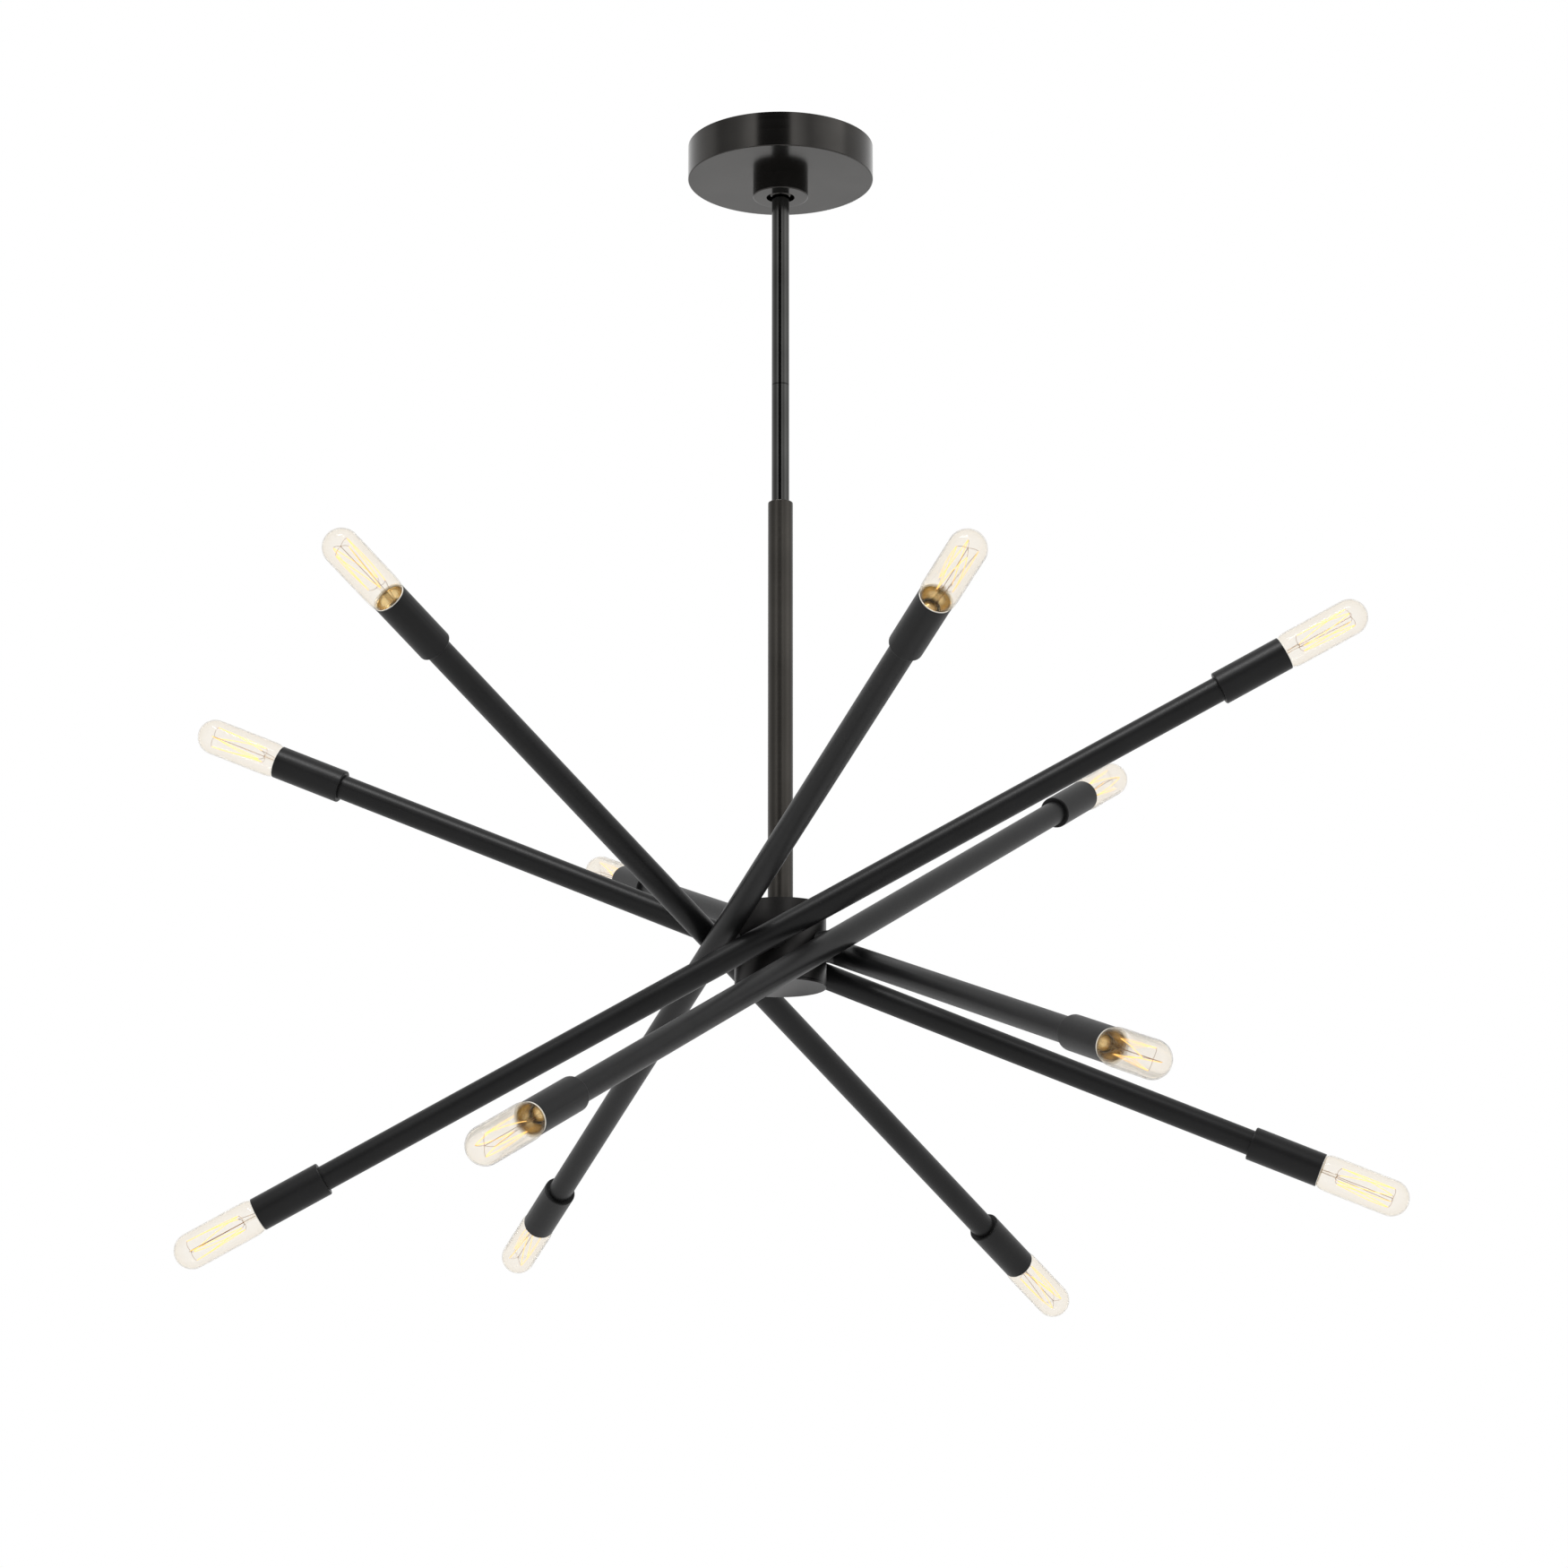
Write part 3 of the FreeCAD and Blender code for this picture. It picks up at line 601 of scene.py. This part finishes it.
# ---------------------------------------------------------------- operators
class CHANDELIER_OT_finishes(bpy.types.Operator):
    """Give every CAD node its paint, plating or glaze"""
    bl_idname = "chandelier.finishes"
    bl_label = "Finishes"

    def execute(self, context):
        settings = context.scene.chandelier_finishes
        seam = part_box("upper_stem")[0].z
        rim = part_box("hub_shell")[0].z
        plating = brushed_gunmetal("gunmetal", tuple(settings.gunmetal), settings.gunmetal_roughness)
        hub = brushed_gunmetal("hub_gunmetal", tuple(settings.hub), settings.hub_roughness, rim)
        stem = brushed_gunmetal("stem_gunmetal", tuple(settings.stem), settings.stem_roughness, seam)
        sleeve = brushed_gunmetal("sleeve_gunmetal", tuple(settings.sleeve), settings.sleeve_roughness)
        zinc = worked_metal("zinc_plate", tuple(settings.zinc), 0.35)
        paint = powder_coat("powder_coat", tuple(settings.powder), settings.powder_roughness)
        porcelain = glazed_porcelain("porcelain", tuple(settings.porcelain), 0.25)
        green = powder_coat("green_screw", tuple(settings.green), 0.4)
        groups = {
            plating: ["canopy", "swivel_collar", "swivel_ball"],
            sleeve: ["sleeve_tube", "sleeve_cap"],
            hub: ["hub_shell", "hub_cover"],
            stem: ["upper_stem", "lower_stem"],
            zinc: ["crossbar", "nipple", "nipple_nuts", "swivel_housing", "swivel_pin",
                   "stem_coupler", "hub_nut"],
            green: ["ground_screw"],
            paint: [name % n for n in ARM_NUMBERS
                    for name in ("arm_tube_%d", "arm_pivot_%d", "socket_cups_%d")],
            porcelain: ["lamp_sockets_%d" % n for n in ARM_NUMBERS],
        }
        for material, nodes in groups.items():
            for node in nodes:
                mesh = frame["nodes"][node].data
                mesh.materials.clear()
                mesh.materials.append(material)
        return {"FINISHED"}


class CHANDELIER_OT_bulb_glass(bpy.types.Operator):
    """Blow the twelve glass envelopes"""
    bl_idname = "chandelier.bulb_glass"
    bl_label = "Bulb glass"

    def execute(self, context):
        settings = context.scene.chandelier_bulbs
        glass = clear_glass("bulb_glass", tuple(settings.tint), tuple(settings.edge), settings.waviness)
        for number in ARM_NUMBERS:
            plan = BulbPlan(number, settings)
            piece = Piece("envelopes_%d" % number)
            outside = envelope_profile(plan, SKIN, settings.neck_swell)
            inside = envelope_profile(plan, SKIN + settings.wall, settings.neck_swell)
            edge = (np.array([plan.foot, plan.foot]), np.array([outside[1][0], inside[1][0]]))
            for axis in plan.ends():
                for along, radius in (outside, inside, edge):
                    piece.add(axis, lathe(along, radius, ROUND))
            piece.build(glass, "arm_%d" % number, ["bulb_glass_%d" % number])
        return {"FINISHED"}


class CHANDELIER_OT_filaments(bpy.types.Operator):
    """String the filaments to and fro in each bulb"""
    bl_idname = "chandelier.filaments"
    bl_label = "Filaments"

    def execute(self, context):
        settings = context.scene.chandelier_bulbs
        glow = glowing_wire("filament", tuple(settings.hot), tuple(settings.cool), settings.glow)
        for number in ARM_NUMBERS:
            plan = BulbPlan(number, settings)
            piece = Piece("filaments_%d" % number)
            path, sideways, heat = cage_path(plan, settings, 0.0, settings.runs,
                                             RUN_STEPS * settings.runs)
            strand = wire(path, settings.strand, sideways)
            heat = np.concatenate([heat[:1], heat, heat[-1:]])
            for axis in plan.ends():
                piece.add(axis, strand, heat)
            piece.build(glow, "arm_%d" % number, ["bulb_filaments_%d" % number], "heat")
        return {"FINISHED"}


class CHANDELIER_OT_bulb_mounts(bpy.types.Operator):
    """Make the glass mount, its rod, hooks and lead wires in each bulb"""
    bl_idname = "chandelier.bulb_mounts"
    bl_label = "Bulb mounts"

    def execute(self, context):
        settings = context.scene.chandelier_bulbs
        glass = clear_glass("mount_glass", tuple(settings.tint), tuple(settings.edge), settings.waviness)
        brown = worked_metal("hook_wire", HOOK_COLOUR, 0.3)
        for number in ARM_NUMBERS:
            plan = BulbPlan(number, settings)
            body = "arm_%d" % number
            button = plan.cage_foot - BUTTON_DROP
            height = button - plan.foot
            mount = Piece("mounts_%d" % number)
            along, radius = self.mount_profile(plan, height)
            wires = Piece("hooks_%d" % number)
            for axis in plan.ends():
                mount.add(axis, lathe(along, radius, MOUNT_ROUND))
                for surface in self.wire_surfaces(plan, settings, button):
                    wires.add(axis, surface)
            mount.build(glass, body)
            wires.build(brown, body)
        return {"FINISHED"}

    @staticmethod
    def mount_profile(plan, height):
        """A flared foot that narrows to a rod, radius = flare / (1 + (5 t)^2) + rod, and a button."""
        t = np.linspace(0, 1, MOUNT_STEPS)
        flare = FLARE_RADIUS / (1 + (5 * t) ** 2)
        knob = KNOB_RADIUS * np.exp(-((t - 0.95) / 0.05) ** 2)
        radius = flare + ROD_RADIUS + knob
        radius[-1] = 0.0
        along = plan.foot + MOUNT_LIFT + t * height
        return np.concatenate([along[:1], along]), np.concatenate([[0.0], radius])

    @staticmethod
    def wire_surfaces(plan, settings, button):
        """The middle rod, a hook to every turn of the filament, and the two lead wires."""
        rod_path = [(button - in_millimetres(1), 0, 0), (button + in_millimetres(8), 0, 0),
                    (plan.cage_head + in_millimetres(1), 0, 0)]
        surfaces = [curved_wire(rod_path, settings.hook * ROD_SHARE)]
        for turn in range(settings.runs + 1):
            end = cage_path(plan, settings, turn, turn, 1)[0][0]
            low = turn % 2 == 0
            root = button if low else plan.cage_head + HOOK_ROOT
            lift = -HOOK_BEND if low else HOOK_BEND
            surfaces.append(curved_wire([(root, 0, 0), (root + lift, end[1] * 0.6, end[2] * 0.6),
                                         (end[0] + lift * 0.1, end[1], end[2])], settings.hook))
        for turn in (0, settings.runs):
            end = cage_path(plan, settings, turn, turn, 1)[0][0]
            start = (plan.foot + HOOK_ROOT, end[1] * 0.35, end[2] * 0.35)
            surfaces.append(curved_wire([start, (plan.foot + (end[0] - plan.foot) * 0.45,
                                                 end[1] * 0.3, end[2] * 0.3),
                                         (end[0] - in_millimetres(3), end[1], end[2]), end],
                                        settings.hook * LEAD_SHARE))
        return surfaces


# the glass mount: its flared foot, rod and button
MOUNT_STEPS = 30
MOUNT_ROUND = 32
MOUNT_LIFT = in_millimetres(0.3)
BUTTON_DROP = in_millimetres(1.5)
FLARE_RADIUS = in_millimetres(3.9)
ROD_RADIUS = in_millimetres(1.1)
KNOB_RADIUS = in_millimetres(0.8)
# the wires: how far a hook bends out, and how thick rod and leads are beside a hook
HOOK_COLOUR = (0.42, 0.25, 0.12)
HOOK_BEND = in_millimetres(1.6)
HOOK_ROOT = in_millimetres(0.6)
ROD_SHARE = 1.5
LEAD_SHARE = 1.3


class CHANDELIER_OT_bulb_bases(bpy.types.Operator):
    """Roll the threaded brass bases, with their contacts"""
    bl_idname = "chandelier.bulb_bases"
    bl_label = "Bulb bases"

    def execute(self, context):
        finishes = context.scene.chandelier_finishes
        settings = context.scene.chandelier_bulbs
        brass = worked_metal("brass", tuple(finishes.brass), 0.22)
        shell = BASE_RADIUS
        groove = shell - settings.thread_depth
        for number in ARM_NUMBERS:
            plan = BulbPlan(number, settings)
            piece = Piece("bases_%d" % number)
            thread_start = plan.base_foot + CONTACT_LENGTH + CONE_LENGTH
            thread_end = plan.base_head - COLLAR_LENGTH
            rise = np.linspace(0, 1, CONE_STEPS)
            contact = CONTACT_RADIUS * np.sqrt(np.minimum(rise / CONTACT_SHARE, 1))
            flank = (groove - CONTACT_RADIUS) * np.maximum(rise - CONTACT_SHARE, 0) / (1 - CONTACT_SHARE)
            cone = (plan.base_foot + rise * (thread_start - plan.base_foot), contact + flank)
            thread = screw_thread(thread_start, thread_end, shell, settings.thread_depth,
                                  settings.thread_pitch, THREAD_STEPS, BASE_ROUND)
            t = np.linspace(0, 1, COLLAR_STEPS)
            collar = (np.append(thread_end + t * (plan.base_head - thread_end), plan.base_head),
                      np.append(shell - settings.thread_depth * (1 - smooth_step(t * 2)), 0.0))
            for axis in plan.ends():
                piece.add(axis, lathe(cone[0], cone[1], BASE_ROUND))
                piece.add(axis, thread)
                piece.add(axis, lathe(collar[0], collar[1], BASE_ROUND))
            piece.build(brass, "arm_%d" % number, ["bulb_bases_%d" % number])
        return {"FINISHED"}


# the base: a contact, a cone up to the thread, and a smooth collar above it
CONTACT_RADIUS = in_millimetres(2.3)
CONTACT_LENGTH = in_millimetres(1.6)
CONTACT_SHARE = 0.35
CONE_LENGTH = in_millimetres(2.5)
COLLAR_LENGTH = in_millimetres(2.5)
CONE_STEPS = 10
THREAD_STEPS = 90
COLLAR_STEPS = 8
BASE_ROUND = 40


class CHANDELIER_OT_mouths(bpy.types.Operator):
    """Line the cups' mouths: a brass skirt under each bulb's neck and a white rim round it"""
    bl_idname = "chandelier.mouths"
    bl_label = "Cup mouths"

    def execute(self, context):
        brass = bpy.data.materials["brass"]
        porcelain = bpy.data.materials["porcelain"]
        settings = context.scene.chandelier_bulbs
        for number in ARM_NUMBERS:
            plan = BulbPlan(number, settings)
            body = "arm_%d" % number
            skirts = Piece("skirts_%d" % number)
            rims = Piece("rims_%d" % number)
            along = np.linspace(plan.foot + SKIRT_LIFT, plan.mouth - SKIRT_DROP, SKIRT_STEPS)
            inner = envelope_radius(plan, along, settings.neck_swell) + SKIRT_GAP
            outer = inner + SKIRT_WALL
            bead_along, bead_radius = self.rim_profile(plan)
            for axis in plan.ends():
                skirts.add(axis, lathe(np.concatenate([along, along[::-1], along[:1]]),
                                       np.concatenate([inner, outer[::-1], inner[:1]]), ROUND))
                rims.add(axis, lathe(bead_along, bead_radius, ROUND))
            skirts.build(brass, body)
            rims.build(porcelain, body)
        return {"FINISHED"}

    @staticmethod
    def rim_profile(plan):
        """A sleeve in the cup that opens into a narrow flange over the cup's edge."""
        along, radius = np.array(RIM_OUTLINE).T * MILLIMETRE
        return plan.mouth + along, plan.rim_radius + radius


# the brass skirt: its clearances and wall
SKIRT_LIFT = in_millimetres(0.4)
SKIRT_DROP = in_millimetres(1.2)
SKIRT_GAP = in_millimetres(0.12)
SKIRT_WALL = in_millimetres(0.2)
SKIRT_STEPS = 24
# the rim's section in millimetres, along and outwards from the mouth's inner edge
RIM_OUTLINE = ((-1.0, -0.45), (-0.6, -0.45), (0.5, 0.1), (0.5, 0.75), (0.05, 0.75),
               (0.05, 0.0), (-1.0, 0.0), (-1.0, -0.45))


class CHANDELIER_OT_nipple(bpy.types.Operator):
    """Cut the thread of the tube that carries the fitting"""
    bl_idname = "chandelier.nipple"
    bl_label = "Nipple"

    def execute(self, context):
        zinc = bpy.data.materials["zinc_plate"]
        low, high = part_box("nipple")
        radius = (high.x - low.x) / 2
        axis = Axis((0, 0, low.z), (0, 0, 1), (1, 0, 0))
        length = high.z - low.z
        piece = Piece("nipple_thread")
        steps = STEPS_IN_A_TURN * round(length / NIPPLE_PITCH)
        piece.add(axis, screw_thread(0.0, length, radius, NIPPLE_DEPTH, NIPPLE_PITCH, steps, ROUND))
        rim = radius - NIPPLE_DEPTH
        for along, outline in (((0.0, 0.0), (rim, NIPPLE_BORE)),
                               ((0.0, length), (NIPPLE_BORE, NIPPLE_BORE)),
                               ((length, length), (NIPPLE_BORE, rim))):
            piece.add(axis, lathe(np.array(along), np.array(outline), ROUND))
        piece.build(zinc, "ceiling_mount", ["nipple"])
        return {"FINISHED"}


NIPPLE_BORE = in_millimetres(3.2)
NIPPLE_DEPTH = in_millimetres(0.4)
NIPPLE_PITCH = in_millimetres(0.94)
STEPS_IN_A_TURN = 12


class CHANDELIER_OT_stage(bpy.types.Operator):
    """Lay the floor, light the studio and set the camera"""
    bl_idname = "chandelier.stage"
    bl_label = "Stage"

    def execute(self, context):
        scene = context.scene
        stage = scene.chandelier_stage
        middle = Vector((0, 0, frame["joints"][-1]["pos_m"][2]))
        self.lay_floor(scene, stage)
        self.light_sky(scene, stage)
        self.hang_lamp(scene, stage, middle)
        self.set_camera(scene, stage, middle)
        scene.view_settings.view_transform = "Standard"
        return {"FINISHED"}

    @staticmethod
    def lay_floor(scene, stage):
        finish = Finish("floor")
        grain = finish.noise(finish.object_place, 3.0)
        colour = tuple(stage.floor)
        finish.join(finish.blend(finish.spread(grain, 0.0, 1.0), colour,
                                 tuple(c * 0.985 for c in colour)),
                    finish.shader.inputs["Base Color"])
        finish.set(roughness=0.9, specular=0.1, glow=(1, 1, 1, 1))
        path = finish.node("ShaderNodeLightPath").outputs
        seen = finish.larger(path["Is Camera Ray"],
                             finish.larger(path["Is Glossy Ray"], path["Is Transmission Ray"]))
        finish.join(finish.product(seen, FLOOR_LIFT), finish.shader.inputs["Emission Strength"])
        mesh = bpy.data.meshes.new("floor")
        reach = FLOOR_REACH
        mesh.from_pydata([(-reach, -reach, -stage.floor_drop), (reach, -reach, -stage.floor_drop),
                          (reach, reach, -stage.floor_drop), (-reach, reach, -stage.floor_drop)],
                         [], [(0, 1, 2, 3)])
        mesh.materials.append(finish.material)
        floor = bpy.data.objects.new("floor", mesh)
        scene.collection.objects.link(floor)

    @staticmethod
    def light_sky(scene, stage):
        """Even light with a dark strip behind the camera; camera, glass and gloss see white.

        In front the level follows the sine of the azimuth, x / sqrt(x x + y y): dark in the
        strip, brightest just outside it, and fading to the even level at the sides. Above and
        behind it is even. White is what the camera and the glass see all round, and what gloss
        shows of the background behind the object.
        """
        world = bpy.data.worlds.new("studio")
        scene.world = world
        world.use_nodes = True
        sky = Graph(world.node_tree)
        parts = sky.node("ShaderNodeSeparateXYZ")
        sky.join(sky.node("ShaderNodeTexCoord").outputs["Generated"], parts.inputs[0])
        across, depth, height = parts.outputs
        ramp = sky.node("ShaderNodeValToRGB")
        stops = ramp.color_ramp.elements
        stops.remove(stops[0])
        for sine, level in FRONT_LEVELS:
            stops.new((sine + 1) / 2).color = (level / FRONT_PEAK,) * 3 + (1.0,)
        stops.remove(stops[-1])
        sine = sky.math("DIVIDE", across, sky.off_axis(across, depth))
        sky.join(sky.math("ADD", sky.product(sine, 0.5), 0.5), ramp.inputs["Fac"])
        front = sky.product(ramp.outputs["Color"], FRONT_PEAK)
        behind = sky.spread(depth, 0.0, 1.0, *BEHIND, shape="SMOOTHSTEP")
        above = sky.spread(height, 0.0, 1.0, *ABOVE, shape="SMOOTHSTEP")
        level = sky.between(sky.larger(behind, above), front, 1.0)
        path = sky.node("ShaderNodeLightPath").outputs
        mirrored = sky.product(path["Is Glossy Ray"], behind)
        seen = sky.larger(sky.larger(path["Is Camera Ray"], mirrored), path["Is Transmission Ray"])
        background = sky.tree.nodes["Background"]
        sky.join(sky.between(seen, sky.product(level, stage.sky), 1.0), background.inputs["Strength"])
        background.inputs["Color"].default_value = (1, 1, 1, 1)

    @staticmethod
    def hang_lamp(scene, stage, middle):
        """One wide soft lamp above and in front, which faces the middle of the arms."""
        light = bpy.data.lights.new("lamp_above", "AREA")
        light.shape = "RECTANGLE"
        light.size = LAMP_WIDTH
        light.size_y = LAMP_HEIGHT
        light.energy = stage.key
        lamp = bpy.data.objects.new("lamp_above", light)
        lamp.location = LAMP_PLACE
        lamp.rotation_euler = (middle - LAMP_PLACE).to_track_quat("-Z", "Y").to_euler()
        scene.collection.objects.link(lamp)

    @staticmethod
    def set_camera(scene, stage, middle):
        data = bpy.data.cameras.new("camera")
        data.lens = stage.lens
        camera = bpy.data.objects.new("camera", data)
        camera.location = middle - stage.distance * Vector(
            (0, math.cos(stage.elevation), math.sin(stage.elevation)))
        camera.rotation_euler = (math.pi / 2 + stage.pitch, 0, -stage.yaw)
        scene.collection.objects.link(camera)
        scene.camera = camera


# light in front, by the sine of the azimuth from the camera's side
FRONT_PEAK = 2.6
FRONT_LEVELS = ((-1.0, 0.7), (-0.8, 1.0), (-0.52, 2.6), (-0.47, 0.08), (-0.1, 0.03),
                (0.19, 0.08), (0.24, 2.5), (0.6, 1.0), (1.0, 0.7))
# where the sky turns from the front levels to the even one, by depth and by height
BEHIND = (-0.15, 0.1)
ABOVE = (0.5, 0.7)
FLOOR_REACH = 60.0
FLOOR_LIFT = 0.3
LAMP_PLACE = Vector((-0.4, -1.5, 1.6))
LAMP_WIDTH = 1.6
LAMP_HEIGHT = 0.5


class CHANDELIER_PT_panel(bpy.types.Panel):
    """Lists the chandelier's operators and settings"""
    bl_idname = "CHANDELIER_PT_panel"
    bl_label = "Sputnik chandelier"
    bl_space_type = "VIEW_3D"
    bl_region_type = "UI"
    bl_category = "Chandelier"

    def draw(self, context):
        layout = self.layout
        for operator in OPERATORS:
            layout.operator(operator.bl_idname)
        for group in ("chandelier_finishes", "chandelier_bulbs", "chandelier_stage"):
            settings = getattr(context.scene, group)
            box = layout.box()
            for name in settings.__annotations__:
                box.prop(settings, name)


OPERATORS = (
    CHANDELIER_OT_finishes,
    CHANDELIER_OT_bulb_glass,
    CHANDELIER_OT_filaments,
    CHANDELIER_OT_bulb_mounts,
    CHANDELIER_OT_bulb_bases,
    CHANDELIER_OT_mouths,
    CHANDELIER_OT_nipple,
    CHANDELIER_OT_stage,
)
GROUPS = {
    "chandelier_finishes": ChandelierFinishes,
    "chandelier_bulbs": ChandelierBulbs,
    "chandelier_stage": ChandelierStage,
}


def register():
    for group in GROUPS.values():
        bpy.utils.register_class(group)
    for name, group in GROUPS.items():
        setattr(bpy.types.Scene, name, PointerProperty(type=group))
    for operator in OPERATORS:
        bpy.utils.register_class(operator)
    bpy.utils.register_class(CHANDELIER_PT_panel)


def unregister():
    bpy.utils.unregister_class(CHANDELIER_PT_panel)
    for operator in reversed(OPERATORS):
        bpy.utils.unregister_class(operator)
    for name, group in reversed(GROUPS.items()):
        delattr(bpy.types.Scene, name)
        bpy.utils.unregister_class(group)


def main():
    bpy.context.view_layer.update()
    register()
    for operator in OPERATORS:
        group, name = operator.bl_idname.split(".")
        getattr(getattr(bpy.ops, group), name)()


if __name__ == "__main__":
    main()
